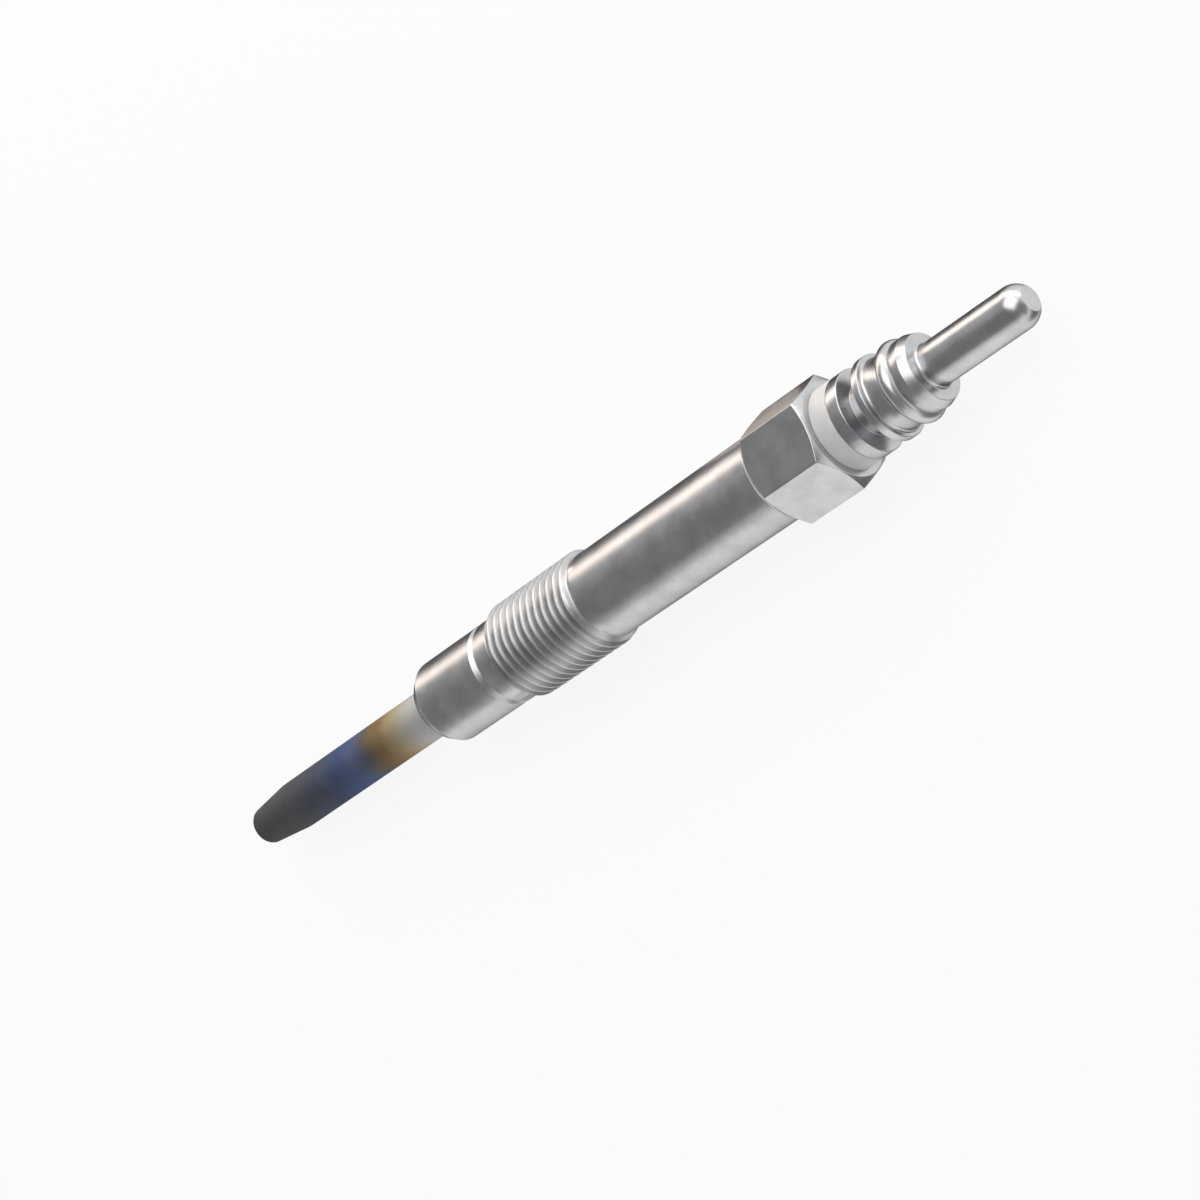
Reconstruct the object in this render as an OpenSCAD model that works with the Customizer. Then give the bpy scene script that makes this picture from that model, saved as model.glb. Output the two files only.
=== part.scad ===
// Sheathed-element glow plug with a push-on pin terminal, lying on one flat of its hexagon.
// The plug's axis is X: the heater points along -X and the terminal pin along +X.
// The origin is on the axis, in the plane of the shell's front face, beside the sealing cone.
// Lengths are in millimetres.

/* [Shell] */
// Diameter of the front face, at the small end of the sealing cone
face_d = 7.4; // [6.8:0.1:8.2]
// Length of the sealing cone
seat_len = 1.15; // [0.6:0.05:1.8]
// Diameter of the plain pilot ahead of the thread
pilot_d = 8.75; // [8.6:0.05:9.2]
// Length from the front face to the thread
pilot_len = 12.3; // [11:0.1:20]
// Width of the relief groove in the pilot
relief_w = 0.75; // [0.6:0.05:1.2]
// Depth of the relief groove
relief_depth = 0.4; // [0.2:0.05:0.5]
// Length of plain pilot between the relief groove and the thread
relief_gap = 1.95; // [1:0.05:3]
// Outside diameter of the thread
thread_d = 10; // [9.6:0.1:10.4]
// Length of the thread with its two chamfers
thread_len = 12.8; // [8:0.2:18]
// Length of the run-out chamfer behind the thread
thread_runout = 1.2; // [0.6:0.1:2]
// Pitch of the thread
thread_pitch = 1; // [0.9:0.05:1.25]
// Depth of the thread
thread_depth = 0.61; // [0.4:0.01:0.65]
// Width of the flat on the thread's crests
thread_crest = 0.125; // [0.1:0.005:0.2]
// Diameter of the shank between thread and hexagon
shank_d = 8.85; // [8.6:0.05:9.2]
// Length of the shank
shank_len = 24.2; // [15:0.2:40]
// Width of the hexagon across its flats
hex_af = 9.85; // [9.5:0.05:11]
// Length of the hexagon, with the fillet under it
hex_len = 8.55; // [7:0.05:12]
// Radius of the fillet between shank and hexagon
hex_fillet = 1; // [0.6:0.1:1.4]
// Diameter of the flat ring on top of the hexagon
hex_land_d = 9.5; // [9:0.05:9.8]
// Angle of the chamfers on the hexagon's corners
hex_chamfer = 30; // [20:1:40]
// Diameter of the bore round the terminal stud
shell_bore_d = 6; // [5.4:0.1:6.4]
// Diameter of the counterbore for gasket and washer
seal_bore_d = 6.8; // [6.5:0.1:7.2]
// Depth of the counterbore from the top of the hexagon
seal_bore_depth = 6; // [5:0.1:7]

/* [Glow tube] */
// Outside diameter of the glow tube
tube_d = 5.15; // [4.8:0.05:5.3]
// Wall of the glow tube
tube_wall = 0.45; // [0.3:0.05:0.6]
// Length of the glow tube ahead of the shell
tube_reach = 31; // [30:0.2:40]
// Length of the glow tube pressed into the shell
tube_seat = 21; // [16:0.5:30]
// Length of the swaged taper, up to the tip
taper_len = 5.8; // [4:0.1:9]
// Diameter of the tube at its tip
tip_d = 3.9; // [3.7:0.05:4.6]
// Rounding of the tip
tip_round = 0.7; // [0.5:0.05:1]
// Thickness of the closed end
tip_wall = 0.6; // [0.4:0.05:0.9]

/* [Filaments and filling] */
// Diameter of both coils, at the middle of the wire
coil_d = 2.1; // [1.8:0.05:2.2]
// Wire of the heating filament
heating_wire = 0.4; // [0.3:0.02:0.45]
// Turns of the heating filament
heating_turns = 9; // [6:1:10]
// Pitch of the heating filament
heating_pitch = 1; // [0.8:0.05:1.1]
// Wire of the control filament
control_wire = 0.36; // [0.3:0.02:0.45]
// Turns of the control filament
control_turns = 10; // [6:1:12]
// Pitch of the control filament
control_pitch = 1.2; // [0.8:0.05:1.3]
// Straight lead at the outer end of each filament
lead_len = 0.7; // [0.5:0.1:1.2]
// Part of a turn over which each filament winds in to its lead
lead_turn = 0.75; // [0.5:0.05:1]
// Diameter of the terminal stud
stud_d = 3.2; // [3:0.1:3.4]
// Length of the ring that closes the glow tube
gasket_len = 2.5; // [1.5:0.1:4]

/* [Insulating washer] */
// Outside diameter of the insulating washer
washer_d = 8.3; // [8:0.05:8.8]
// Height of the washer above the hexagon
washer_h = 2.05; // [1.4:0.05:3]
// Length of the washer's spigot inside the shell
spigot_len = 3.4; // [2:0.1:4]
// Edge chamfer of the washer
washer_edge = 0.12; // [0.05:0.01:0.3]

/* [Connector cap] */
// Outside diameter of the collar rings
collar_d = 8.25; // [7.8:0.05:8.6]
// Width of the ring next to the washer
ring_w = 1.4; // [1:0.05:2]
// Width of the deep groove
groove_w = 1.8; // [1.2:0.05:2.4]
// Diameter at the floor of the deep groove
groove_d = 4.95; // [4.7:0.05:5.6]
// Width of the ring above the groove
rim_w = 0.8; // [0.5:0.05:1.2]
// Fillet between the upper ring and the neck
neck_fillet = 0.35; // [0.2:0.05:0.4]
// Diameter of the neck
neck_d = 7.1; // [6.8:0.05:7.4]
// Length of the neck
neck_len = 1.75; // [1.2:0.05:2.4]
// Largest diameter of the rounded bead
bead_d = 8.05; // [7.8:0.05:8.3]
// Width of the rounded bead
bead_w = 1.45; // [1.2:0.05:1.8]
// Diameter of the land above the bead
land_d = 7.2; // [7:0.05:7.4]
// Length of the land
land_len = 1; // [0.6:0.05:1.6]
// Diameter of the cap's end face, at the small end of its cone
end_face_d = 6.55; // [6:0.05:6.9]
// Length of the cone
cone_len = 0.9; // [0.6:0.05:1.4]
// Depth of the socket that is pressed on the stud
socket_depth = 6.8; // [5:0.1:8]
// Edge break on the rings
ring_edge = 0.12; // [0.05:0.01:0.2]
// Diameter of the terminal pin
pin_d = 4.15; // [3.9:0.05:4.4]
// Length of the terminal pin
pin_len = 11.5; // [9:0.1:14]
// Radius of the rounded nose of the pin
pin_nose = 2; // [1.4:0.05:2.6]
// Diameter of the flat on the end of the nose
pin_flat_d = 2.4; // [1.6:0.05:3]
// Fillet at the root of the pin
pin_fillet = 0.3; // [0.1:0.05:0.5]

/* [Hidden] */

// Facets round a full turn, and steps along a rounded edge
round_fn = 96;
arc_steps = 6;
// Sides of a filament's wire, and steps along one turn of it
wire_sides = 8;
turn_steps = 16;
// Slack that lets a row of steps reach its last one
turn_slack = 0.001;
// Reach of a cutting tool past the face that it opens
over = 1;

// Places along the axis, from the front face to the end of the pin
thread_x = pilot_len;
shank_x = thread_x + thread_len;
hex_x = shank_x + shank_len;
top_x = hex_x + hex_len;
cap_x = top_x + washer_h;
groove_x = cap_x + ring_w;
rim_x = groove_x + groove_w;
neck_x = rim_x + rim_w;
bead_x = neck_x + neck_len;
land_x = bead_x + bead_w;
cone_x = land_x + land_len;
end_face_x = cone_x + cone_len;
pin_end_x = end_face_x + pin_len;
socket_x = cap_x + socket_depth;
relief_x = thread_x - relief_gap - relief_w;
seal_x = top_x - seal_bore_depth;
spigot_x = top_x - spigot_len;

// Thread: its chamfers, the middle of its full diameter, and how many turns lie on each side of that
thread_r = thread_d / 2;
thread_chamfer = thread_r - pilot_d / 2;
thread_mid_x = (thread_x + thread_chamfer + shank_x - thread_runout) / 2;
half_turns = floor((thread_mid_x - thread_x) / thread_pitch);
flank = 30;

// Hexagon: radius of its corners, and where fillet and corner chamfers end
hex_corner_r = hex_af / 2 / cos(30);
fillet_end_r = shank_d / 2 + hex_fillet * (1 - sin(hex_chamfer));
fillet_end_x = hex_x + hex_fillet * cos(hex_chamfer);
lower_chamfer_x = fillet_end_x + (hex_corner_r - fillet_end_r) * tan(hex_chamfer);
upper_chamfer_x = top_x - (hex_corner_r - hex_land_d / 2) * tan(hex_chamfer);

// Heater, from the tip to the open end of the tube
tip_x = -tube_reach;
taper_x = tip_x + taper_len;
inner_tip_x = tip_x + tip_wall;
tube_r = tube_d / 2;
bore_r = tube_r - tube_wall;
inner_tip_r = tip_d / 2 - tube_wall;
inner_round = min(tip_round, inner_tip_r) / 2;
gasket_x = tube_seat - gasket_len;
coil_r = coil_d / 2;
heating_x = inner_tip_x + lead_len + lead_turn * heating_pitch;
control_x = heating_x + heating_turns * heating_pitch;
coils_end_x = control_x + control_turns * control_pitch;
stud_x = coils_end_x + lead_turn * control_pitch + lead_len;

// Points on an arc in a profile, as radius and place along the axis
function arc(centre, r, from, to) =
    [for (i = [0:arc_steps]) let (a = from + (to - from) * i / arc_steps) centre + r * [cos(a), sin(a)]];

// A bead is an arc through its two edges and its crown
function bead_radius(half_w, rise) = (half_w * half_w + rise * rise) / (2 * rise);

// Stands a shape that is drawn up Z along the plug's axis
module along_axis(x = 0) {
    translate([x, 0, 0]) rotate([0, 90, 0]) children();
}

// Turned piece from its half profile
module turned(profile) {
    along_axis() rotate_extrude($fn = round_fn) polygon(profile);
}

// Plain round bar or bore between two places on the axis
module bar(d, from, to) {
    along_axis(from) cylinder(d = d, h = to - from, $fn = round_fn);
}

// Hexagon bar with two of its flats level
module hex_bar(from, to) {
    flat = hex_af / 2;
    half_side = hex_corner_r / 2;
    along_axis(from) linear_extrude(height = to - from) polygon([
        [flat, -half_side], [flat, half_side], [0, hex_corner_r],
        [-flat, half_side], [-flat, -half_side], [0, -hex_corner_r]
    ]);
}

// Turned front of the shell: sealing cone, pilot with relief groove, thread and shank
module shell_front() {
    pilot_r = pilot_d / 2;
    turned([
        [0, 0],
        [face_d / 2, 0],
        [pilot_r, seat_len],
        [pilot_r, relief_x],
        [pilot_r - relief_depth, relief_x + relief_depth],
        [pilot_r - relief_depth, relief_x + relief_w],
        [pilot_r, relief_x + relief_w],
        [pilot_r, thread_x],
        [thread_r, thread_x + thread_chamfer],
        [thread_r, shank_x - thread_runout],
        [shank_d / 2, shank_x],
        [shank_d / 2, hex_x + over],
        [0, hex_x + over]
    ]);
}

// Grooves between the thread's crests, one to each pitch, with their flanks carried past the crests
module thread_grooves() {
    past = thread_crest / 2;
    half_top = (thread_pitch - thread_crest) / 2 + past * tan(flank);
    half_root = (thread_pitch - thread_crest) / 2 - thread_depth * tan(flank);
    for (k = [-half_turns : half_turns - 1]) let (x = thread_mid_x + (k + 0.5) * thread_pitch) turned([
        [thread_r - thread_depth, x - half_root],
        [thread_r + past, x - half_top],
        [thread_r + over, x - half_top],
        [thread_r + over, x + half_top],
        [thread_r + past, x + half_top],
        [thread_r - thread_depth, x + half_root]
    ]);
}

// Hexagon with its fillet below and its corner chamfers
module shell_hexagon() {
    intersection() {
        hex_bar(hex_x, top_x);
        turned(concat(
            [[0, hex_x]],
            arc([shank_d / 2 + hex_fillet, hex_x], hex_fillet, 180, 90 + hex_chamfer),
            [
                [hex_corner_r, lower_chamfer_x],
                [hex_corner_r, upper_chamfer_x],
                [hex_land_d / 2, top_x],
                [0, top_x]
            ]
        ));
    }
}

module plug_shell() {
    color([0.62, 0.63, 0.64]) difference() {
        union() {
            shell_front();
            shell_hexagon();
        }
        thread_grooves();
        bar(tube_d, -over, tube_seat);
        bar(shell_bore_d, tube_seat, seal_x + over);
        bar(seal_bore_d, seal_x, top_x + over);
    }
}

// Inside of the glow tube, from its closed end to a place along the axis
module tube_cavity(to) {
    turned(concat(
        [[0, inner_tip_x]],
        arc([inner_tip_r - inner_round, inner_tip_x + inner_round], inner_round, -90, 0),
        [
            [bore_r, taper_x],
            [bore_r, to],
            [0, to]
        ]
    ));
}

module glow_tube() {
    color([0.40, 0.42, 0.47]) difference() {
        turned(concat(
            [[0, tip_x]],
            arc([tip_d / 2 - tip_round, tip_x + tip_round], tip_round, -90, 0),
            [
                [tube_r, taper_x],
                [tube_r, tube_seat],
                [0, tube_seat]
            ]
        ));
        tube_cavity(tube_seat + over);
    }
}

// A wire's route along Z: a helix that winds in to the axis over its last part turn, at one end
function wind_in(turn) = let (s = max(0, min(1, 1 + turn / lead_turn))) s * s * (3 - 2 * s);
function coil_point(turn, from_tip) =
    coil_r * wind_in(from_tip) * [cos(360 * turn), sin(360 * turn), 0];
function coil_turns(from, to) = [from : (to - from) / round((to - from) * turn_steps) : to + turn_slack];

// Unit vector, and a vector made square to a direction
function unit(v) = v / norm(v);
function squared(v, along) = unit(v - (v * along) * along);

// Direction of a route at each point, with the ends given
function directions(route, first, last) = [
    for (i = [0 : len(route) - 1])
        i == 0 ? first : i == len(route) - 1 ? last : unit(route[i + 1] - route[i - 1])
];

// Side vectors that follow a route without twisting round it
function sides(along, start) = [
    for (i = 0, side = start; i < len(along); i = i + 1, side = i < len(along) ? squared(side, along[i]) : side)
        side
];

// Round wire swept along a route
module wire_along(route, first, last, start_side, wire) {
    along = directions(route, first, last);
    side = sides(along, start_side);
    rings = len(route);
    points = [
        for (i = [0 : rings - 1]) let (across = cross(along[i], side[i]))
            for (k = [0 : wire_sides - 1]) let (a = 360 * k / wire_sides)
                route[i] + wire / 2 * (cos(a) * side[i] + sin(a) * across)
    ];
    walls = [
        for (i = [0 : rings - 2])
            for (k = [0 : wire_sides - 1]) let (m = (k + 1) % wire_sides, n = i * wire_sides)
                [n + k, n + wire_sides + k, n + wire_sides + m, n + m]
    ];
    first_cap = [for (k = [0 : wire_sides - 1]) k];
    last_cap = [for (k = [wire_sides - 1 : -1 : 0]) (rings - 1) * wire_sides + k];
    polyhedron(points, concat(walls, [first_cap, last_cap]));
}

// Heating coil: its lead runs up the axis from the tip, then winds out to the first turn
module heating_wire_run(extra = 0) {
    lead_z = -lead_turn * heating_pitch;
    route = concat(
        [[0, 0, lead_z - lead_len - extra]],
        [for (turn = coil_turns(-lead_turn, heating_turns))
            coil_point(turn, turn) + [0, 0, turn * heating_pitch]]
    );
    along_axis(heating_x) wire_along(route, [0, 0, 1], [0, 1, 0], [1, 0, 0], heating_wire);
}

// Control coil: its last turn winds in to a lead that runs up the axis to the stud
module control_wire_run(extra = 0) {
    end_turn = control_turns + lead_turn;
    route = concat(
        [for (turn = coil_turns(0, end_turn))
            coil_point(turn, control_turns - turn) + [0, 0, turn * control_pitch]],
        [[0, 0, end_turn * control_pitch + lead_len + extra]]
    );
    along_axis(control_x) wire_along(route, [0, 1, 0], [0, 0, 1], [1, 0, 0], control_wire);
}

module heating_filament() {
    color([0.72, 0.66, 0.58]) heating_wire_run();
}

module control_filament() {
    color([0.66, 0.64, 0.62]) control_wire_run();
}

module filling_powder() {
    color([0.92, 0.91, 0.88]) difference() {
        tube_cavity(gasket_x);
        bar(stud_d, stud_x, gasket_x + over);
        heating_wire_run(tip_wall);
        control_wire_run(over);
    }
}

module terminal_stud() {
    color([0.58, 0.58, 0.58]) bar(stud_d, stud_x, socket_x);
}

module element_gasket() {
    color([0.12, 0.12, 0.13]) difference() {
        bar(2 * bore_r, gasket_x, tube_seat);
        bar(stud_d, gasket_x - over, tube_seat + over);
    }
}

module shell_gasket() {
    color([0.12, 0.12, 0.13]) difference() {
        bar(seal_bore_d, seal_x, spigot_x);
        bar(stud_d, seal_x - over, spigot_x + over);
    }
}

module insulating_washer() {
    color([0.84, 0.84, 0.82]) difference() {
        turned([
            [0, spigot_x],
            [seal_bore_d / 2, spigot_x],
            [seal_bore_d / 2, top_x],
            [washer_d / 2, top_x],
            [washer_d / 2, cap_x - washer_edge],
            [washer_d / 2 - washer_edge, cap_x],
            [0, cap_x]
        ]);
        bar(stud_d, spigot_x - over, cap_x + over);
    }
}

// Ring of the collar with both edges broken
function ring_edges(from, to) = let (r = collar_d / 2) [
    [r - ring_edge, from],
    [r, from + ring_edge],
    [r, to - ring_edge],
    [r - ring_edge, to]
];

module connector_cap() {
    neck_r = neck_d / 2;
    pin_r = pin_d / 2;
    bead_foot_r = (neck_d + land_d) / 4;
    bead_rise = bead_d / 2 - bead_foot_r;
    bead_r = bead_radius(bead_w / 2, bead_rise);
    bead_swing = asin(bead_w / 2 / bead_r);
    nose_r = pin_r - pin_nose;
    nose_swing = acos((pin_flat_d / 2 - nose_r) / pin_nose);
    nose_x = pin_end_x - pin_nose * sin(nose_swing);
    color([0.60, 0.61, 0.63]) difference() {
        turned(concat(
            [[0, cap_x]],
            ring_edges(cap_x, groove_x),
            [[groove_d / 2, groove_x], [groove_d / 2, rim_x]],
            ring_edges(rim_x, neck_x),
            arc([neck_r + neck_fillet, neck_x + neck_fillet], neck_fillet, 270, 180),
            [[neck_r, bead_x]],
            arc([bead_d / 2 - bead_r, bead_x + bead_w / 2], bead_r, -bead_swing, bead_swing),
            [
                [land_d / 2, land_x],
                [land_d / 2, cone_x],
                [end_face_d / 2, end_face_x]
            ],
            arc([pin_r + pin_fillet, end_face_x + pin_fillet], pin_fillet, 270, 180),
            arc([nose_r, nose_x], pin_nose, 0, nose_swing),
            [[0, pin_end_x]]
        ));
        bar(stud_d, cap_x - over, socket_x);
    }
}

plug_shell();
glow_tube();
heating_filament();
control_filament();
filling_powder();
terminal_stud();
element_gasket();
shell_gasket();
insulating_washer();
connector_cap();
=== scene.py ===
import math
import bmesh
import bpy
from mathutils import Matrix, Vector


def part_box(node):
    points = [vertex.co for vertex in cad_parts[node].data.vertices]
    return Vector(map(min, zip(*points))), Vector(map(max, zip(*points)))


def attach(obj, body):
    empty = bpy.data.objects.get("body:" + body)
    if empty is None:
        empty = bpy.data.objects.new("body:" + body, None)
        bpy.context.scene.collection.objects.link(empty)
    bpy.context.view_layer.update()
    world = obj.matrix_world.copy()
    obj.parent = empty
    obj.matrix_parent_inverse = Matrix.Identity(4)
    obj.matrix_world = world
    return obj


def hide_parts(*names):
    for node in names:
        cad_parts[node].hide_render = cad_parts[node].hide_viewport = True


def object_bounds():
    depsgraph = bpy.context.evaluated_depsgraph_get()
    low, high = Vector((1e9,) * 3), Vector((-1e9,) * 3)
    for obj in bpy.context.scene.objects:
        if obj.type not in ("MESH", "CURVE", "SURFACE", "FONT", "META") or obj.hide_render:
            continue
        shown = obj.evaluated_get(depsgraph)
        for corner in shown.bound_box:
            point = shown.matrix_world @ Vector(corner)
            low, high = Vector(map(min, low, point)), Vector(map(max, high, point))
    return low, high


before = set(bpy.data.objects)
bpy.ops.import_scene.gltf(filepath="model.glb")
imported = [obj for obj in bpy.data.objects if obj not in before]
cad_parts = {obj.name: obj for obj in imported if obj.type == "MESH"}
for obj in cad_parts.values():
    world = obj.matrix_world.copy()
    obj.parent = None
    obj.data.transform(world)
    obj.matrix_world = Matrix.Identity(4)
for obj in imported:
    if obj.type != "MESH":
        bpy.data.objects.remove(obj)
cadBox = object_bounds()
scene = bpy.context.scene
scene.view_settings.view_transform = "Standard"
mm = 0.001
print("frame loaded:", len(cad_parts), "nodes")


# A node socket that takes part in sums; every node of a tree comes from its net.
class Link:
    def __init__(self, net, socket):
        self.net = net
        self.socket = socket

    def maths(self, operation, *others):
        return self.net.node("ShaderNodeMath", {"operation": operation}, [self, *others])

    def __add__(self, other):
        return self.maths("ADD", other)

    def __radd__(self, other):
        return self.maths("ADD", other)

    def __sub__(self, other):
        return self.maths("SUBTRACT", other)

    def __rsub__(self, other):
        return self.net.node("ShaderNodeMath", {"operation": "SUBTRACT"}, [other, self])

    def __mul__(self, other):
        return self.maths("MULTIPLY", other)

    def __rmul__(self, other):
        return self.maths("MULTIPLY", other)

    def __truediv__(self, other):
        return self.maths("DIVIDE", other)

    def __rtruediv__(self, other):
        return self.net.node("ShaderNodeMath", {"operation": "DIVIDE"}, [other, self])

    def below(self, other):
        return self.maths("MINIMUM", other)

    def above(self, other):
        return self.maths("MAXIMUM", other)

    def ease(self, start, end):     # 0 before start, 1 after end, smooth between
        settings = {"interpolation_type": "SMOOTHSTEP"}
        inputs = {"Value": self, "From Min": start, "From Max": end}
        return self.net.node("ShaderNodeMapRange", settings, inputs)


class Net:
    def __init__(self, tree):
        self.tree = tree

    def node(self, kind, settings=None, inputs=None, output=0):
        made = self.tree.nodes.new(kind)
        for key, value in (settings or {}).items():
            if key == "stops":
                ramp = made.color_ramp
                while len(ramp.elements) < len(value):
                    ramp.elements.new(1.0)
                for element, (place, colour) in zip(ramp.elements, value):
                    element.position = place
                    element.color = (*colour, 1.0)
            else:
                setattr(made, key, value)
        pairs = enumerate(inputs) if isinstance(inputs, (list, tuple)) else (inputs or {}).items()
        for key, value in pairs:
            if isinstance(value, Link):
                self.tree.links.new(value.socket, made.inputs[key])
            else:
                made.inputs[key].default_value = value
        return Link(self, made.outputs[output]) if len(made.outputs) else made

    def pick(self, link, name):     # another output of the node that a link comes from
        return Link(self, link.socket.node.outputs[name])

    def blend(self, factor, first, second):
        inputs = {0: factor, 6: first, 7: second}
        return self.node("ShaderNodeMix", {"data_type": "RGBA"}, inputs, 2)

    def noise(self, place, scale, detail=3.0, roughness=0.6):
        inputs = {"Vector": place, "Scale": scale, "Detail": detail, "Roughness": roughness}
        return self.node("ShaderNodeTexNoise", None, inputs)

    def stripes(self, place, scale, detail=2.0):     # noise along one direction only
        inputs = {"W": place, "Scale": scale, "Detail": detail}
        return self.node("ShaderNodeTexNoise", {"noise_dimensions": "1D"}, inputs)

    def bump(self, strength, depth, height):
        inputs = {"Strength": strength, "Distance": depth, "Height": height}
        return self.node("ShaderNodeBump", None, inputs)


def grey(value):
    return (value, value, value, 1.0)


def newMaterial(name):
    material = bpy.data.materials.new(name)
    material.use_nodes = True
    material.node_tree.nodes.clear()
    return material, Net(material.node_tree)


def surface(net, constants, links):
    shader = net.node("ShaderNodeBsdfPrincipled", None, {**constants, **links})
    net.node("ShaderNodeOutputMaterial", None, {"Surface": shader})


# Satin turned steel: faint tool lines round the axis, fine grain, slow clouds in the sheen.
steelFinish = {
    "lineScale": 5200.0,       # tool lines per metre
    "grainScale": 9000.0,
    "cloudScale": 430.0,
    "lineHeight": 0.5,
    "grainHeight": 0.25,
    "bumpStrength": 0.35,
    "bumpDepth": 0.0000004,
    "cloudSheen": 0.08,        # how much clouds and lines change the roughness
    "lineSheen": 0.04,
    "lineTone": 0.25,          # how much lines change the colour, beside the clouds
    "toneRange": (0.25, 0.75),
    "darkShare": 0.87,
    "lightShare": 1.06,
    "flatsSmoother": 0.07,
    "flatsBlend": 0.3 * mm,
    "rimTint": 0.42,           # how much light is left at grazing angles
}


# The flats, where there are any, are drawn bar: smoother, with no tool lines round the axis.
def turnedSteel(name, tint, roughness, lines=1.0, flats=None):
    f = steelFinish
    material, net = newMaterial(name)
    place = net.node("ShaderNodeTexCoord", None, None, "Object")
    along = net.node("ShaderNodeSeparateXYZ", None, [place])
    if flats:
        begun = along.ease(flats[0], flats[0] + f["flatsBlend"])
        ended = along.ease(flats[1] - f["flatsBlend"], flats[1])
        drawn = begun * (1.0 - ended)
        lines = lines - drawn * lines
        roughness = roughness - drawn * f["flatsSmoother"]
    coarse = net.stripes(along, f["lineScale"])
    grain = net.noise(place, f["grainScale"])
    cloud = net.noise(place, f["cloudScale"])
    rough = (cloud - 0.5) * f["cloudSheen"] + (coarse - 0.5) * f["lineSheen"] * lines + roughness
    dark = tuple(c * f["darkShare"] for c in tint) + (1.0,)
    light = tuple(min(1.0, c * f["lightShare"]) for c in tint) + (1.0,)
    tone = (cloud + (coarse - 0.5) * lines * f["lineTone"]).ease(*f["toneRange"])
    height = coarse * f["lineHeight"] * lines + grain * f["grainHeight"]
    surface(net, {"Metallic": 1.0, "Specular Tint": grey(f["rimTint"])},
            {"Base Color": net.blend(tone, dark, light), "Roughness": rough,
             "Normal": net.bump(f["bumpStrength"], f["bumpDepth"], height)})
    return material


hexFlats = (49.4 * mm, 58.0 * mm)     # where the hexagon's flats begin and end along the axis
shellSteel = turnedSteel("shellSatinSteel", (0.62, 0.627, 0.64), 0.32, 1.0, hexFlats)
capSteel = turnedSteel("capSatinSteel", (0.63, 0.637, 0.652), 0.29)
studSteel = turnedSteel("studDrawnSteel", (0.56, 0.56, 0.56), 0.36)
filamentWire = turnedSteel("filamentDrawnWire", (0.64, 0.60, 0.54), 0.40, 0.3)


# Heater sheath: heat tint by place along the axis, in mm from the shell's front face.
tintStops = {
    "from": -32.0,
    "to": 0.0,
    "bands": [
        (-32.0, (0.140, 0.142, 0.140)),
        (-24.0, (0.150, 0.155, 0.165)),
        (-18.5, (0.118, 0.135, 0.190)),
        (-15.0, (0.112, 0.152, 0.300)),
        (-12.4, (0.136, 0.180, 0.335)),
        (-10.6, (0.165, 0.175, 0.200)),
        (-9.3, (0.255, 0.190, 0.110)),
        (-7.7, (0.350, 0.245, 0.125)),
        (-6.0, (0.500, 0.405, 0.235)),
        (-4.4, (0.590, 0.545, 0.450)),
        (-2.6, (0.650, 0.650, 0.650)),
    ],
}


sheathFinish = {
    "cloudScale": 420.0,
    "cloudDetail": 4.0,
    "cloudRoughness": 0.62,
    "wander": 2.2 * mm,        # how far the bands stray along the axis
    "speckScale": 2600.0,
    "speckDetail": 3.0,
    "speckRoughness": 0.7,
    "speckRange": (0.56, 0.70),
    "burntRange": (-22.0 * mm, -9.0 * mm),
    "soot": (0.09, 0.09, 0.095, 1.0),
    "sootShare": 0.35,
    "bloom": 0.42,             # grey of the pale clouds
    "bloomStart": 0.35,
    "bloomShare": 0.35,
    "roughness": 0.76,
    "burntRougher": 0.04,
    "cloudSheen": 0.12,
    "lineHeight": 0.5,
    "grainHeight": 0.4,
    "speckHeight": 0.6,
    "bumpStrength": 0.35,
    "bumpDepth": 0.000003,
    "rimTint": 0.28,
}


def heatTintedSteel(name):
    f = sheathFinish
    material, net = newMaterial(name)
    place = net.node("ShaderNodeTexCoord", None, None, "Object")
    along = net.node("ShaderNodeSeparateXYZ", None, [place])
    lines = net.stripes(along, steelFinish["lineScale"])
    grain = net.noise(place, steelFinish["grainScale"])
    cloud = net.noise(place, f["cloudScale"], f["cloudDetail"], f["cloudRoughness"])
    reach = tintStops["to"] - tintStops["from"]
    wander = along + (cloud - 0.5) * f["wander"]
    share = (wander / mm - tintStops["from"]) / reach
    stops = [((x - tintStops["from"]) / reach, colour) for x, colour in tintStops["bands"]]
    tint = net.node("ShaderNodeValToRGB", {"stops": stops}, {"Fac": share})
    speck = net.noise(place, f["speckScale"], f["speckDetail"], f["speckRoughness"])
    speck = speck.ease(*f["speckRange"])
    burnt = 1.0 - along.ease(*f["burntRange"])
    colour = net.blend(speck * burnt * f["sootShare"], tint, f["soot"])
    colour = net.blend((cloud - f["bloomStart"]).above(0.0) * f["bloomShare"], colour, grey(f["bloom"]))
    rough = f["roughness"] + burnt * f["burntRougher"] + (cloud - 0.5) * f["cloudSheen"]
    height = lines * f["lineHeight"] + grain * f["grainHeight"] + speck * burnt * f["speckHeight"]
    surface(net, {"Metallic": 1.0, "Specular Tint": grey(f["rimTint"])},
            {"Base Color": colour, "Roughness": rough,
             "Normal": net.bump(f["bumpStrength"], f["bumpDepth"], height)})
    return material


washerFinish = {
    "grainScale": 5200.0,
    "cloudScale": 520.0,
    "toneRange": (0.3, 0.7),
    "dark": (0.68, 0.685, 0.685, 1.0),
    "light": (0.75, 0.755, 0.755, 1.0),
    "roughness": 0.46,
    "grainSheen": 0.16,
    "bumpStrength": 0.3,
    "bumpDepth": 0.000006,
}


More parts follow.
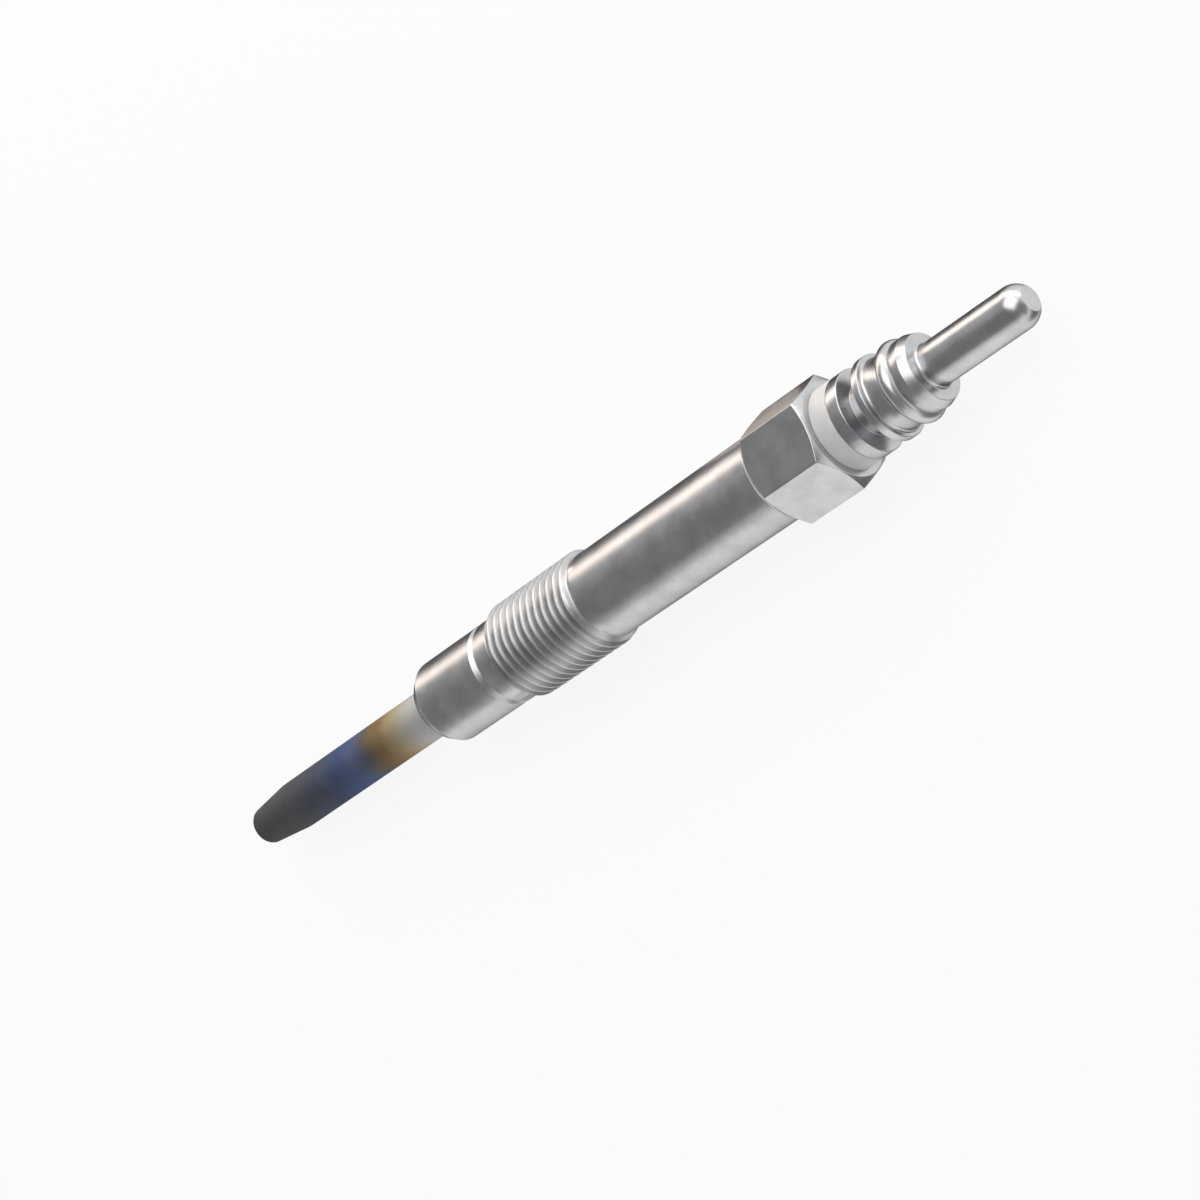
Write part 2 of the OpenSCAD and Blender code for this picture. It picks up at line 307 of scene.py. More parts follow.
def mouldedPlastic(name):
    f = washerFinish
    material, net = newMaterial(name)
    place = net.node("ShaderNodeTexCoord", None, None, "Object")
    grain = net.noise(place, f["grainScale"])
    cloud = net.noise(place, f["cloudScale"])
    colour = net.blend(cloud.ease(*f["toneRange"]), f["dark"], f["light"])
    rough = f["roughness"] + (grain - 0.5) * f["grainSheen"]
    surface(net, {}, {"Base Color": colour, "Roughness": rough,
                      "Normal": net.bump(f["bumpStrength"], f["bumpDepth"], grain)})
    return material


powderFinish = {
    "grainScale": 7000.0,
    "grainDetail": 4.0,
    "grainRoughness": 0.7,
    "cloudScale": 900.0,
    "dark": (0.82, 0.81, 0.78, 1.0),
    "light": (0.93, 0.92, 0.90, 1.0),
    "roughness": 0.9,
    "grainSheen": 0.1,
    "bumpStrength": 0.5,
    "bumpDepth": 0.00002,
}


def pressedPowder(name):
    f = powderFinish
    material, net = newMaterial(name)
    place = net.node("ShaderNodeTexCoord", None, None, "Object")
    grain = net.noise(place, f["grainScale"], f["grainDetail"], f["grainRoughness"])
    cloud = net.noise(place, f["cloudScale"])
    rough = f["roughness"] - grain * f["grainSheen"]
    surface(net, {}, {"Base Color": net.blend(cloud, f["dark"], f["light"]), "Roughness": rough,
                      "Normal": net.bump(f["bumpStrength"], f["bumpDepth"], grain)})
    return material


rubberFinish = {
    "grainScale": 6000.0,
    "dark": 0.022,
    "light": 0.05,
    "roughness": 0.62,
    "grainSheen": 0.2,
    "bumpStrength": 0.4,
    "bumpDepth": 0.00001,
}


def sealRubber(name):
    f = rubberFinish
    material, net = newMaterial(name)
    place = net.node("ShaderNodeTexCoord", None, None, "Object")
    grain = net.noise(place, f["grainScale"])
    colour = net.blend(grain, grey(f["dark"]), grey(f["light"]))
    rough = f["roughness"] + grain * f["grainSheen"]
    surface(net, {}, {"Base Color": colour, "Roughness": rough,
                      "Normal": net.bump(f["bumpStrength"], f["bumpDepth"], grain)})
    return material


tubeSteel = heatTintedSteel("tubeHeatTintedSteel")
washerPlastic = mouldedPlastic("washerMouldedPlastic")
fillingPowder = pressedPowder("fillingPressedPowder")
gasketRubber = sealRubber("gasketRubber")
print("materials ready")


# First and last place of a CAD node along the axis, in mm.
def span(node):
    low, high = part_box(node)
    return low[0] / mm, high[0] / mm


longestCut = 0.49     # share of a side that the rounding of one corner may take


# A profile is a row of corners: place, radius, rounding. Each rounded corner becomes an arc.
def softCorners(corners, loop=False, steps=5):
    count = len(corners)
    line = []
    for i, (x, r, soft) in enumerate(corners):
        here = Vector((x, r))
        if soft == 0 or (not loop and i in (0, count - 1)):
            line.append(here)
            continue
        back = Vector(corners[i - 1][:2]) - here
        ahead = Vector(corners[(i + 1) % count][:2]) - here
        half = back.angle(ahead) / 2
        cut = min(soft / math.tan(half), longestCut * back.length, longestCut * ahead.length)
        radius = cut * math.tan(half)
        middle = here + (back.normalized() + ahead.normalized()).normalized() * radius / math.sin(half)
        first = here + back.normalized() * cut - middle
        last = here + ahead.normalized() * cut - middle
        begin = math.atan2(first.y, first.x)
        swing = (math.atan2(last.y, last.x) - begin + math.pi) % (2 * math.pi) - math.pi
        for k in range(steps + 1):
            a = begin + swing * k / steps
            line.append(middle + radius * Vector((math.cos(a), math.sin(a))))
    return line


# Corners along an arc: its angle is 0 straight out from the axis and grows towards the pin.
def arcCorners(x, r, radius, begin, end, steps=18):
    turns = [begin + (end - begin) * k / steps for k in range(steps + 1)]
    return [(x + radius * math.sin(a), r + radius * math.cos(a), 0) for a in turns]


# Arc through two feet and a crown.
def crown(first, last, footR, crownR):
    half = (last - first) / 2
    rise = crownR - footR
    radius = (half * half + rise * rise) / (2 * rise)
    swing = math.asin(half / radius)
    return arcCorners((first + last) / 2, crownR - radius, radius, -swing, swing)


def pointAt(mesh, x, r, angle):
    return mesh.verts.new((x * mm, r * math.cos(angle) * mm, r * math.sin(angle) * mm))


# Ring round the axis, or a single point on it.
def ringAt(mesh, x, r, angles):
    if r < 1e-9:
        return [mesh.verts.new((x * mm, 0.0, 0.0))]
    return [pointAt(mesh, x, r, a) for a in angles]


def skin(mesh, rings, loop=False):
    pairs = list(zip(rings, rings[1:])) + ([(rings[-1], rings[0])] if loop else [])
    for first, second in pairs:
        count = max(len(first), len(second))
        for k in range(count):
            n = (k + 1) % count
            if len(first) == 1 and len(second) == 1:
                continue
            if len(first) == 1:
                mesh.faces.new((first[0], second[n], second[k]))
            elif len(second) == 1:
                mesh.faces.new((first[k], first[n], second[0]))
            else:
                mesh.faces.new((first[k], first[n], second[n], second[k]))


# Joins two rings with different numbers of points, both running round from the same side.
def bridge(mesh, first, firstAngles, second, secondAngles):
    i = 0
    j = 0
    while i < len(first) or j < len(second):
        nextI = firstAngles[i + 1] if i + 1 < len(first) else 2 * math.pi
        nextJ = secondAngles[j + 1] if j + 1 < len(second) else 2 * math.pi
        a = first[i % len(first)]
        b = second[j % len(second)]
        if j >= len(second) or (i < len(first) and nextI <= nextJ):
            mesh.faces.new((a, first[(i + 1) % len(first)], b))
            i += 1
        else:
            mesh.faces.new((a, second[(j + 1) % len(second)], b))
            j += 1


meshFinish = {
    "mergeWithin": 0.0000008,
    "shortestEdge": 0.0000002,
    "sharpAngle": math.radians(38),
    "flatWeight": 80,
}


# Closes seams, turns faces outwards and keeps wide faces flat beside narrow edges.
def finishPiece(name, mesh, material, replaced):
    f = meshFinish
    bmesh.ops.remove_doubles(mesh, verts=mesh.verts, dist=f["mergeWithin"])
    bmesh.ops.dissolve_degenerate(mesh, edges=mesh.edges, dist=f["shortestEdge"])
    bmesh.ops.recalc_face_normals(mesh, faces=mesh.faces)
    openEdges = sum(1 for edge in mesh.edges if len(edge.link_faces) != 2)
    data = bpy.data.meshes.new(name)
    mesh.to_mesh(data)
    mesh.free()
    data.materials.append(material)
    data.polygons.foreach_set("use_smooth", [True] * len(data.polygons))
    data.set_sharp_from_angle(angle=f["sharpAngle"])
    piece = bpy.data.objects.new(name, data)
    scene.collection.objects.link(piece)
    weighted = piece.modifiers.new("flatFaces", "WEIGHTED_NORMAL")
    weighted.keep_sharp = True
    weighted.weight = f["flatWeight"]
    plainMesh(piece)
    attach(piece, "root")
    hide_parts(replaced)
    triangles = sum(len(face.vertices) - 2 for face in piece.data.polygons)
    print(name, "triangles", triangles, "open edges", openEdges)


def plainMesh(piece):
    graph = bpy.context.evaluated_depsgraph_get()
    shaped = piece.evaluated_get(graph)
    made = bpy.data.meshes.new_from_object(shaped, preserve_all_data_layers=True, depsgraph=graph)
    piece.modifiers.clear()
    old = piece.data
    piece.data = made
    bpy.data.meshes.remove(old)
    made.name = piece.name


def evenAngles(count):
    return [2 * math.pi * k / count for k in range(count)]


# Turned piece from a profile of corners.
def turnPiece(name, corners, loop, material, replaced, sides=144):
    mesh = bmesh.new()
    angles = evenAngles(sides)
    line = softCorners(corners, loop)
    rings = [ringAt(mesh, p.x, p.y, angles) for p in line]
    skin(mesh, rings, loop)
    finishPiece(name, mesh, material, replaced)


shellStart, shellTop = span("plug_shell")
tubeTip, tubeEnd = span("glow_tube")
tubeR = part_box("glow_tube")[1][2] / mm
washerLow, capFoot = span("insulating_washer")
pinEnd = span("connector_cap")[1]

shellSizes = {
    "faceR": 3.7,
    "seatLen": 1.15,
    "pilotR": 4.375,
    "pilotLen": 12.3,
    "reliefPlace": 9.6,
    "reliefWidth": 0.75,
    "reliefDepth": 0.4,
    "threadLen": 12.8,
    "runOut": 0.6,
    "shankR": 4.425,
    "hexLen": 8.55,
    "hexFlat": 4.925,          # half the width across flats
    "hexFillet": 1.0,
    "hexLandR": 4.75,
    "hexSlope": math.tan(math.radians(30)),
    "cornerRound": 0.14,
    "mouthEdge": 0.05,
    "faceEdge": 0.06,
    "seatEdge": 0.08,
    "reliefEdge": 0.05,
    "edge": 0.12,
    "sealEdge": 0.04,
    "boreR": 3.0,
    "sealBoreR": 3.4,
    "sealBoreDepth": 6.0,
    "sides": 144,
    "flatSteps": 20,
    "filletSteps": 9,
    "filletShare": 0.9,        # share of the fillet that is drawn before it runs into the chamfer
    "shankEnds": (1.0, 1.2),   # plain rings near the ends of the shank
    "hexLead": 0.6,            # the hexagon's own mesh begins this far before it
    "hexBridge": 0.3,
}

threadSizes = {
    "pitch": 1.0,
    "crestR": 5.0,
    "rootR": 4.39,
    "crestShare": 0.125,
    "rootShare": 0.25,
    "rounding": 0.2,           # share of a flank's rise
    "rootFade": 3.2,           # how many run-outs the groove takes to fade
    "seam": 0.000001,
    "rowsPerTurn": 24,
    "turns": 14,
}


# Helical thread as a grid whose rows follow the helix; it ends in two plain rings.
def threadTree():
    tree = bpy.data.node_groups.new("helicalThread", "GeometryNodeTree")
    inputs = [("Start", "NodeSocketFloat"), ("End", "NodeSocketFloat"), ("Pitch", "NodeSocketFloat"),
              ("Crest Radius", "NodeSocketFloat"), ("Root Radius", "NodeSocketFloat"),
              ("Entry Radius", "NodeSocketFloat"), ("Exit Radius", "NodeSocketFloat"),
              ("Run Out", "NodeSocketFloat"), ("Crest Share", "NodeSocketFloat"),
              ("Root Share", "NodeSocketFloat"), ("Rounding", "NodeSocketFloat"),
              ("Turns", "NodeSocketInt"), ("Rows", "NodeSocketInt"),
              ("Sides", "NodeSocketInt"), ("Material", "NodeSocketMaterial")]
    for name, kind in inputs:
        tree.interface.new_socket(name, in_out="INPUT", socket_type=kind)
    tree.interface.new_socket("Geometry", in_out="OUTPUT", socket_type="NodeSocketGeometry")
    net = Net(tree)
    given = net.node("NodeGroupInput")
    size = {name: net.pick(given, name) for name, kind in inputs}
    points = {"Vertices X": size["Rows"], "Vertices Y": size["Sides"] + 1}
    grid = net.node("GeometryNodeMeshGrid", None, {"Size X": 1.0, "Size Y": 1.0, **points})
    flat = net.node("ShaderNodeSeparateXYZ", None, [net.node("GeometryNodeInputPosition")])
    round01 = net.pick(flat, "Y") + 0.5
    row = (flat + 0.5) * (size["Turns"] + 1)
    turn = row + round01 - 1.0
    x = (size["Start"] + turn * size["Pitch"]).above(size["Start"]).below(size["End"])
    toCrest = (row.maths("FRACT") - 0.5).maths("ABSOLUTE") * 2.0
    climb = (toCrest - size["Root Share"]) / (1.0 - size["Root Share"] - size["Crest Share"])
    climb = climb.maths("SMOOTH_MAX", 0.0, size["Rounding"])
    climb = climb.maths("SMOOTH_MIN", 1.0, size["Rounding"])
    left = size["End"] - x
    ending = 1.0 - (left / (size["Run Out"] * threadSizes["rootFade"])).below(1.0)
    root = size["Root Radius"] + (size["Exit Radius"] - size["Root Radius"]) * ending
    r = root + (size["Crest Radius"] - root) * climb
    r = r.below(size["Entry Radius"] + x - size["Start"])
    leave = (size["Crest Radius"] - size["Exit Radius"]) / size["Run Out"]
    r = r.below(size["Exit Radius"] + left * leave)
    angle = round01 * (2 * math.pi)
    spot = net.node("ShaderNodeCombineXYZ", None, [x, r * angle.maths("COSINE"), r * angle.maths("SINE")])
    bent = net.node("GeometryNodeSetPosition", None, {"Geometry": grid, "Position": spot})
    seam = {"Geometry": bent, "Distance": threadSizes["seam"]}
    closed = net.node("GeometryNodeMergeByDistance", None, seam)
    real = net.node("GeometryNodeRealizeInstances", None, {"Geometry": closed})
    done = net.node("GeometryNodeSetMaterial", None, {"Geometry": real, "Material": size["Material"]})
    net.node("NodeGroupOutput", None, {"Geometry": done})
    return tree


def threadMesh(start, end, entryR, exitR):
    t = threadSizes
    values = {
        "Start": start * mm, "End": end * mm, "Pitch": t["pitch"] * mm,
        "Crest Radius": t["crestR"] * mm, "Root Radius": t["rootR"] * mm,
        "Entry Radius": entryR * mm, "Exit Radius": exitR * mm, "Run Out": shellSizes["runOut"] * mm,
        "Crest Share": t["crestShare"], "Root Share": t["rootShare"], "Rounding": t["rounding"],
        "Turns": t["turns"], "Rows": t["rowsPerTurn"] * (t["turns"] + 1) + 1,
        "Sides": shellSizes["sides"], "Material": shellSteel,
    }
    holder = bpy.data.objects.new("threadBlank", bpy.data.meshes.new("threadBlank"))
    scene.collection.objects.link(holder)
    tree = threadTree()
    modifier = holder.modifiers.new("helicalThread", "NODES")
    modifier.node_group = tree
    for item in tree.interface.items_tree:
        if item.in_out == "INPUT":
            modifier[item.identifier] = values[item.name]
    graph = bpy.context.evaluated_depsgraph_get()
    made = bpy.data.meshes.new_from_object(holder.evaluated_get(graph), depsgraph=graph)
    holder.modifiers.clear()
    bpy.data.objects.remove(holder)
    return made


sixth = math.pi / 3


# Middle of a corner's rounding, and the direction in which the rounding meets the flat.
def hexCorner():
    soft = shellSizes["cornerRound"]
    hub = (shellSizes["hexFlat"] - soft) / math.cos(sixth / 2)
    return hub, math.atan2(soft / 2, hub + soft * math.cos(sixth / 2))


# Radius of the hexagon in a direction, with its corners rounded.
def hexRadius(angle):
    soft = shellSizes["cornerRound"]
    hub, tangent = hexCorner()
    off = abs((angle + sixth / 2) % sixth - sixth / 2)
    if off < tangent:
        return hub * math.cos(off) + math.sqrt(soft * soft - (hub * math.sin(off)) ** 2)
    return shellSizes["hexFlat"] / math.cos(sixth / 2 - off)


def hexAngles():
    steps = shellSizes["flatSteps"]
    tangent = hexCorner()[1]
    inner = sixth - 2 * tangent
    angles = []
    for k in range(6):
        corner = k * math.pi / 3
        angles += [corner, corner + tangent / 2]
        angles += [corner + tangent + inner * n / steps for n in range(steps + 1)]
        angles += [corner + sixth - tangent / 2]
    return angles


# Sealing cone, pilot and relief groove, from the end of the tube's seat to the thread.
def shellFront(threadAt):
    s = shellSizes
    relief = shellStart + s["reliefPlace"]
    deep = s["pilotR"] - s["reliefDepth"]
    return softCorners([
        (tubeEnd, tubeR, 0),
        (shellStart, tubeR, s["mouthEdge"]),
        (shellStart, s["faceR"], s["faceEdge"]),
        (shellStart + s["seatLen"], s["pilotR"], s["seatEdge"]),
        (relief, s["pilotR"], s["reliefEdge"]),
        (relief + s["reliefDepth"], deep, s["reliefEdge"]),
        (relief + s["reliefWidth"], deep, s["reliefEdge"]),
        (relief + s["reliefWidth"], s["pilotR"], s["reliefEdge"]),
        (threadAt, s["pilotR"], 0),
    ])


# Fillet under the hexagon, its flat and chamfers, and the bores: one line for each direction.
def hexLines(hexAt, joinAt, columns):
    s = shellSizes
    filletEndR = s["shankR"] + s["hexFillet"] / 2
    filletEndX = hexAt + s["hexFillet"] * math.cos(math.pi / 6)
    fillet = []
    for k in range(s["filletSteps"] + 1):
        a = math.pi - sixth * s["filletShare"] * k / s["filletSteps"]
        rise = s["hexFillet"] * (1 + math.cos(a))
        fillet.append((hexAt + s["hexFillet"] * math.sin(a), s["shankR"] + rise, 0))
    lines = []
    for a in columns:
        rho = hexRadius(a)
        lines.append(softCorners([(joinAt, s["shankR"], 0)] + fillet + [
            (filletEndX + (rho - filletEndR) * s["hexSlope"], rho, s["edge"]),
            (shellTop - (rho - s["hexLandR"]) * s["hexSlope"], rho, s["edge"]),
            (shellTop, s["hexLandR"], s["edge"]),
            (shellTop, s["sealBoreR"], s["sealEdge"]),
            (shellTop - s["sealBoreDepth"], s["sealBoreR"], 0),
            (shellTop - s["sealBoreDepth"], s["boreR"], 0),
            (tubeEnd, s["boreR"], 0),
        ]))
    return lines


def plugShell():
    s = shellSizes
    mesh = bmesh.new()
    angles = evenAngles(s["sides"])
    threadAt = shellStart + s["pilotLen"]
    shankAt = threadAt + s["threadLen"]
    hexAt = shellTop - s["hexLen"]
    joinAt = hexAt - s["hexLead"]
    frontRings = [ringAt(mesh, p.x, p.y, angles) for p in shellFront(threadAt)]
    skin(mesh, frontRings)
    afterThread, beforeHex = s["shankEnds"]
    shankPlaces = (shankAt, shankAt + afterThread, hexAt - beforeHex, joinAt - s["hexBridge"])
    shankRings = [ringAt(mesh, x, s["shankR"], angles) for x in shankPlaces]
    skin(mesh, shankRings)
    columns = hexAngles()
    lines = hexLines(hexAt, joinAt, columns)
    hexRings = []
    for row in zip(*lines):
        hexRings.append([pointAt(mesh, p.x, p.y, a) for p, a in zip(row, columns)])
    skin(mesh, hexRings)
    bridge(mesh, shankRings[-1], angles, hexRings[0], columns)
    bridge(mesh, hexRings[-1], columns, frontRings[0], angles)
    mesh.from_mesh(threadMesh(threadAt, shankAt, s["pilotR"], s["shankR"]))
    finishPiece("plugShell", mesh, shellSteel, "plug_shell")


plugShell()


tubeSizes = {
    "wall": 0.45,
    "taperLen": 5.8,
    "tipR": 1.95,
    "tipRound": 0.7,
    "tipWall": 0.6,
    "taperRound": 9.0,         # the sheath bends gently into its taper
    "innerTaperRound": 6.0,
    "innerTipRound": 0.4,
    "endEdge": 0.1,
    "endInnerEdge": 0.08,
}


def glowTube():
    t = tubeSizes
    innerTip = tubeTip + t["tipWall"]
    taperEnd = tubeTip + t["taperLen"]
    corners = [
        (tubeTip, 0, 0),
        (tubeTip, t["tipR"], t["tipRound"]),
        (taperEnd, tubeR, t["taperRound"]),
        (tubeEnd, tubeR, t["endEdge"]),
        (tubeEnd, tubeR - t["wall"], t["endInnerEdge"]),
        (taperEnd, tubeR - t["wall"], t["innerTaperRound"]),
        (innerTip, t["tipR"] - t["wall"], t["innerTipRound"]),
        (innerTip, 0, 0),
    ]
    turnPiece("glowTube", corners, False, tubeSteel, "glow_tube")


glowTube()


washerSizes = {
    "outerR": 4.15,
    "spigotR": 3.4,
    "boreR": 1.6,
    "boreEdge": 0.08,
    "spigotEdge": 0.15,
    "footEdge": 0.06,
    "topEdge": 0.13,
}


def insulatingWasher():
    w = washerSizes
    corners = [
        (washerLow, w["boreR"], w["boreEdge"]),
        (washerLow, w["spigotR"], w["spigotEdge"]),
        (shellTop, w["spigotR"], 0),
        (shellTop, w["outerR"], w["footEdge"]),
        (capFoot, w["outerR"], w["topEdge"]),
        (capFoot, w["boreR"], w["boreEdge"]),
    ]
    turnPiece("insulatingWasher", corners, True, washerPlastic, "insulating_washer")


insulatingWasher()


capSizes = {
    "collarR": 4.125,
    "ringWidth": 1.4,
    "grooveWidth": 1.8,
    "grooveR": 2.475,
    "rimWidth": 0.8,
    "neckFillet": 0.35,
    "neckR": 3.55,
    "neckLen": 1.75,
    "beadR": 4.025,
    "beadWidth": 1.45,
    "landR": 3.6,
    "landLen": 1.0,
    "endFaceR": 3.275,
    "coneLen": 0.9,
    "pinR": 2.075,
    "pinNose": 2.0,
    "pinFlatR": 1.2,
    "pinFillet": 0.3,
    "socketR": 1.6,
    "socketDepth": 6.8,
    "edge": 0.12,
    "socketEdge": 0.05,
    "mouthEdge": 0.08,
    "grooveEdge": 0.08,
    "coneEdge": 0.08,
    "pinFlatEdge": 0.04,
    "beadFoot": 0.05,          # room at each foot of the bead
}


def connectorCap():
    c = capSizes
    groove = capFoot + c["ringWidth"]
    rim = groove + c["grooveWidth"]
    neck = rim + c["rimWidth"]
    bead = neck + c["neckLen"]
    land = bead + c["beadWidth"]
    cone = land + c["landLen"]
    face = cone + c["coneLen"]
    foot = (c["neckR"] + c["landR"]) / 2
    corners = [
        (capFoot + c["socketDepth"], 0, 0),
        (capFoot + c["socketDepth"], c["socketR"], c["socketEdge"]),
        (capFoot, c["socketR"], c["mouthEdge"]),
        (capFoot, c["collarR"], c["edge"]),
        (groove, c["collarR"], c["edge"]),
        (groove, c["grooveR"], c["grooveEdge"]),
        (rim, c["grooveR"], c["grooveEdge"]),
        (rim, c["collarR"], c["edge"]),
        (neck, c["collarR"], c["edge"]),
        (neck, c["neckR"], c["neckFillet"]),
        (bead - c["beadFoot"], c["neckR"], 0),
    ]
    corners += crown(bead, land, foot, c["beadR"])
    corners += [
        (land + c["beadFoot"], c["landR"], 0),
        (cone, c["landR"], c["coneEdge"]),
        (face, c["endFaceR"], c["coneEdge"]),
        (face, c["pinR"], c["pinFillet"]),
    ]
    noseR = c["pinR"] - c["pinNose"]
    noseSwing = math.acos((c["pinFlatR"] - noseR) / c["pinNose"])
    noseAt = pinEnd - c["pinNose"] * math.sin(noseSwing)
    corners += arcCorners(noseAt, noseR, c["pinNose"], 0.0, noseSwing)[:-1]
    corners += [(pinEnd, c["pinFlatR"], c["pinFlatEdge"]), (pinEnd, 0, 0)]
    turnPiece("connectorCap", corners, False, capSteel, "connector_cap")


connectorCap()

# Pieces inside keep their solids and get their finishes.
insideFinishes = {
    "heating_filament": filamentWire,
    "control_filament": filamentWire,
    "filling_powder": fillingPowder,
    "terminal_stud": studSteel,
    "element_gasket": gasketRubber,
    "shell_gasket": gasketRubber,
}


def dressNode(name, material):
    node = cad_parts[name]
    parts = [node] if not isinstance(node, (list, tuple)) else node
    for part in parts:
        if part.material_slots:
            for slot in part.material_slots:
                slot.material = material
        else:
            part.data.materials.append(material)


for nodeName, finish in insideFinishes.items():
    dressNode(nodeName, finish)
print("pieces ready")


# Camera: its tilts in degrees, its distance and the point on the axis that it looks at.
cameraView = {
    "turn": 39.5,
    "roll": 71.34,
    "slant": 34.62,
    "aimAlong": 24.2 * mm,
    "aimAside": 0.283 * mm,
    "distance": 0.290,
    "lens": 92.34,
    "sensor": 36.0,
    "nearest": 0.01,
}


def addCamera():
    c = cameraView
    turn, roll, slant = (math.radians(c[key]) for key in ("turn", "roll", "slant"))
    toCamera = Vector((math.sin(turn), -math.cos(turn) * math.cos(roll), math.cos(turn) * math.sin(roll)))
    along = Vector((math.cos(turn), math.sin(turn) * math.cos(roll), -math.sin(turn) * math.sin(roll)))
    aside = Vector((0.0, -math.sin(roll), -math.cos(roll)))
    right = along * math.cos(slant) + aside * math.sin(slant)
    up = along * math.sin(slant) - aside * math.cos(slant)
    aim = Vector((c["aimAlong"], 0.0, 0.0)) + aside * c["aimAside"]
    data = bpy.data.cameras.new("photoCamera")
    data.lens = c["lens"]
    data.sensor_fit = "HORIZONTAL"
    data.sensor_width = c["sensor"]
    data.clip_start = c["nearest"]
    camera = bpy.data.objects.new("photoCamera", data)
    spot = aim + toCamera * c["distance"]
    camera.matrix_world = Matrix(((right.x, up.x, toCamera.x, spot.x), (right.y, up.y, toCamera.y, spot.y),
                                  (right.z, up.z, toCamera.z, spot.z), (0.0, 0.0, 0.0, 1.0)))
    scene.collection.objects.link(camera)
    scene.camera = camera


addCamera()


# Studio: pale floor, soft lamps, and air that is white below the plug for what steel mirrors.
studio = {
    "floorSize": 1.1,          # ends inside the lamps, so no unlit floor shows behind the plug
    "floorWhite": 0.88,        # share of the floor that is white by itself
    "floorPaint": 0.94,
    "worldGrey": 0.21,
    "skyLift": 0.15,           # how much lighter the air is behind the plug
    "middle": (0.024, 0.0, 0.0),
    "floorDrop": 0.00002,      # how far the floor is below the plug
    "cardLift": 0.00006,
    "skyRange": (0.05, 0.60),
    "horizon": (-0.01, 0.01),
}

# Lamps: place from the middle of the plug, width, height, radiance, colour.
lamps = {
    "topSoftbox": ((0.25, 0.28, 0.60), 0.78, 0.78, 1.6, (1.0, 1.0, 1.0)),
    "sideCard": ((0.55, 0.30, 0.11), 0.76, 0.22, 0.66, (1.0, 1.0, 1.0)),
    "backCard": ((-0.60, 0.03, 0.13), 0.60, 0.26, 0.70, (1.0, 1.0, 1.0)),
    "lowFill": ((0.0, -0.60, 0.050), 1.0, 0.10, 0.84, (1.0, 1.0, 1.0)),
    "highFill": ((0.0, -0.60, 0.200), 1.0, 0.20, 0.56, (1.0, 1.0, 1.0)),
    "warmStrip": ((0.0, 0.30, 0.092), 1.0, 0.14, 2.1, (1.0, 0.86, 0.75)),
}

# Dark corners of the low studio, one behind the heater and one before the pin: how dark, and where
# each begins and is full, by the direction across the axis with a share of the drop, along it, and down.
darkCorners = [
    {"darkness": 0.93, "side": 1.0, "dropShare": 0.55, "across": (0.05, 0.55), "along": (0.05, -0.35),
     "down": (0.02, 0.10)},
    {"darkness": 0.85, "side": -1.0, "dropShare": 0.5, "across": (0.35, 0.70), "along": (0.0, 0.35),
     "down": (0.15, 0.50)},
]

# Warm card beside the hexagon, which glows by itself and which only steel mirrors: it paints a warm
# reflection on the hexagon's flats. Places in mm.
warmCard = {
    "along": (36.0, 50.0),
    "across": (10.9, 17.0),
    "colour": (1.0, 0.87, 0.78, 1.0),
    "strength": 2.1,
}


def floorMaterial():
    material, net = newMaterial("paleFloor")
    path = net.node("ShaderNodeLightPath")
    seen = path.above(net.pick(path, "Is Glossy Ray")).above(net.pick(path, "Is Transmission Ray"))
    lit = net.node("ShaderNodeBsdfDiffuse", None, {"Color": grey(studio["floorPaint"])})
    white = net.node("ShaderNodeEmission", None, {"Color": grey(1.0), "Strength": 1.0})
    mixed = net.node("ShaderNodeMixShader", None, [seen * studio["floorWhite"], lit, white])
    net.node("ShaderNodeOutputMaterial", None, {"Surface": mixed})
    return material


def cardMaterial():
    material, net = newMaterial("warmGlowCardForSteelReflection")
    # the card is pure glow, lit by no lamp: a painted warm reflection that only the steel shows
    light = {"Color": warmCard["colour"], "Strength": warmCard["strength"]}
    glow = net.node("ShaderNodeEmission", None, light)
    net.node("ShaderNodeOutputMaterial", None, {"Surface": glow})
    return material


# Level sheet of the stage between places along and across the axis.
def stageSheet(name, along, across, z, material):
    data = bpy.data.meshes.new(name)
    corners = [(along[i], across[j], z) for i, j in ((0, 0), (1, 0), (1, 1), (0, 1))]
    data.from_pydata(corners, [], [(0, 1, 2, 3)])
    data.materials.append(material)
    sheet = bpy.data.objects.new(name, data)
    scene.collection.objects.link(sheet)
    return sheet


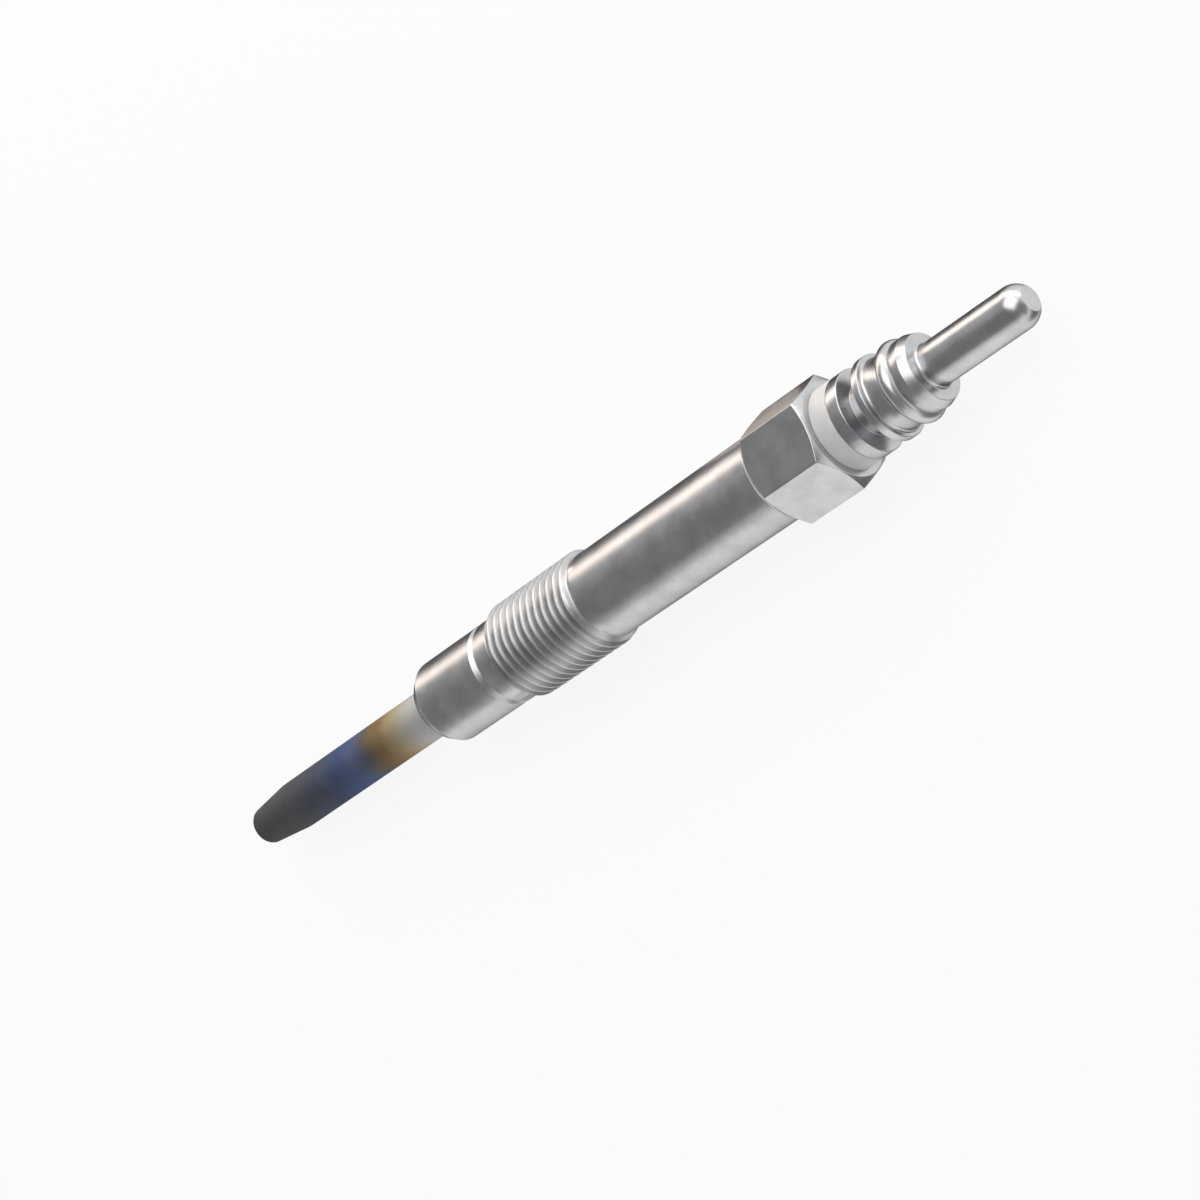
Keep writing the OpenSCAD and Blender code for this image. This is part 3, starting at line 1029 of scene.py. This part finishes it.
def addLamp(name, place, width, height, radiance, colour):
    data = bpy.data.lights.new(name, "AREA")
    data.shape = "RECTANGLE"
    data.size = width
    data.size_y = height
    data.color = colour
    data.energy = radiance * math.pi * width * height
    lamp = bpy.data.objects.new(name, data)
    middle = Vector(studio["middle"])
    lamp.location = middle + Vector(place)
    aim = (middle - lamp.location).to_track_quat("-Z", "Y")
    lamp.rotation_euler = aim.to_euler()
    lamp.visible_camera = False
    scene.collection.objects.link(lamp)


def addStage():
    floorZ = cadBox[0][2] - studio["floorDrop"]
    half = studio["floorSize"] / 2
    floor = stageSheet("floor", (-half, half), (-half, half), floorZ, floorMaterial())
    floor.visible_glossy = False
    floor.visible_shadow = False
    along = [place * mm for place in warmCard["along"]]
    across = [place * mm for place in warmCard["across"]]
    card = stageSheet("warmCard", along, across, floorZ + studio["cardLift"], cardMaterial())
    # only glossy rays see the card, so it shows only as a painted reflection in the steel
    card.visible_camera = False
    card.visible_diffuse = False
    card.visible_shadow = False
    card.visible_transmission = False


# Air of the studio, by direction: white below with its dark corners, grey above.
def addAir():
    world = bpy.data.worlds.new("studioAir")
    world.use_nodes = True
    world.node_tree.nodes.clear()
    net = Net(world.node_tree)
    direction = net.node("ShaderNodeTexCoord", None, None, "Generated")
    heading = net.node("ShaderNodeSeparateXYZ", None, [direction])
    drop = 0.0 - net.pick(heading, "Z")
    below = 1.0
    for corner in darkCorners:
        aside = net.pick(heading, "Y") * corner["side"] + drop * corner["dropShare"]
        shade = aside.ease(*corner["across"]) * heading.ease(*corner["along"]) * drop.ease(*corner["down"])
        below = below - shade * corner["darkness"]
    above = net.pick(heading, "Y").ease(*studio["skyRange"]) * studio["skyLift"] + studio["worldGrey"]
    light = above + drop.ease(*studio["horizon"]) * (below - above)
    light = light.above(net.node("ShaderNodeLightPath"))     # the camera sees a white backdrop
    air = net.node("ShaderNodeBackground", None, {"Color": grey(1.0), "Strength": light})
    net.node("ShaderNodeOutputWorld", None, {"Surface": air})
    scene.world = world


addStage()
for lampName, lampValues in lamps.items():
    addLamp(lampName, *lampValues)
addAir()
print("camera, floor and lamps ready")
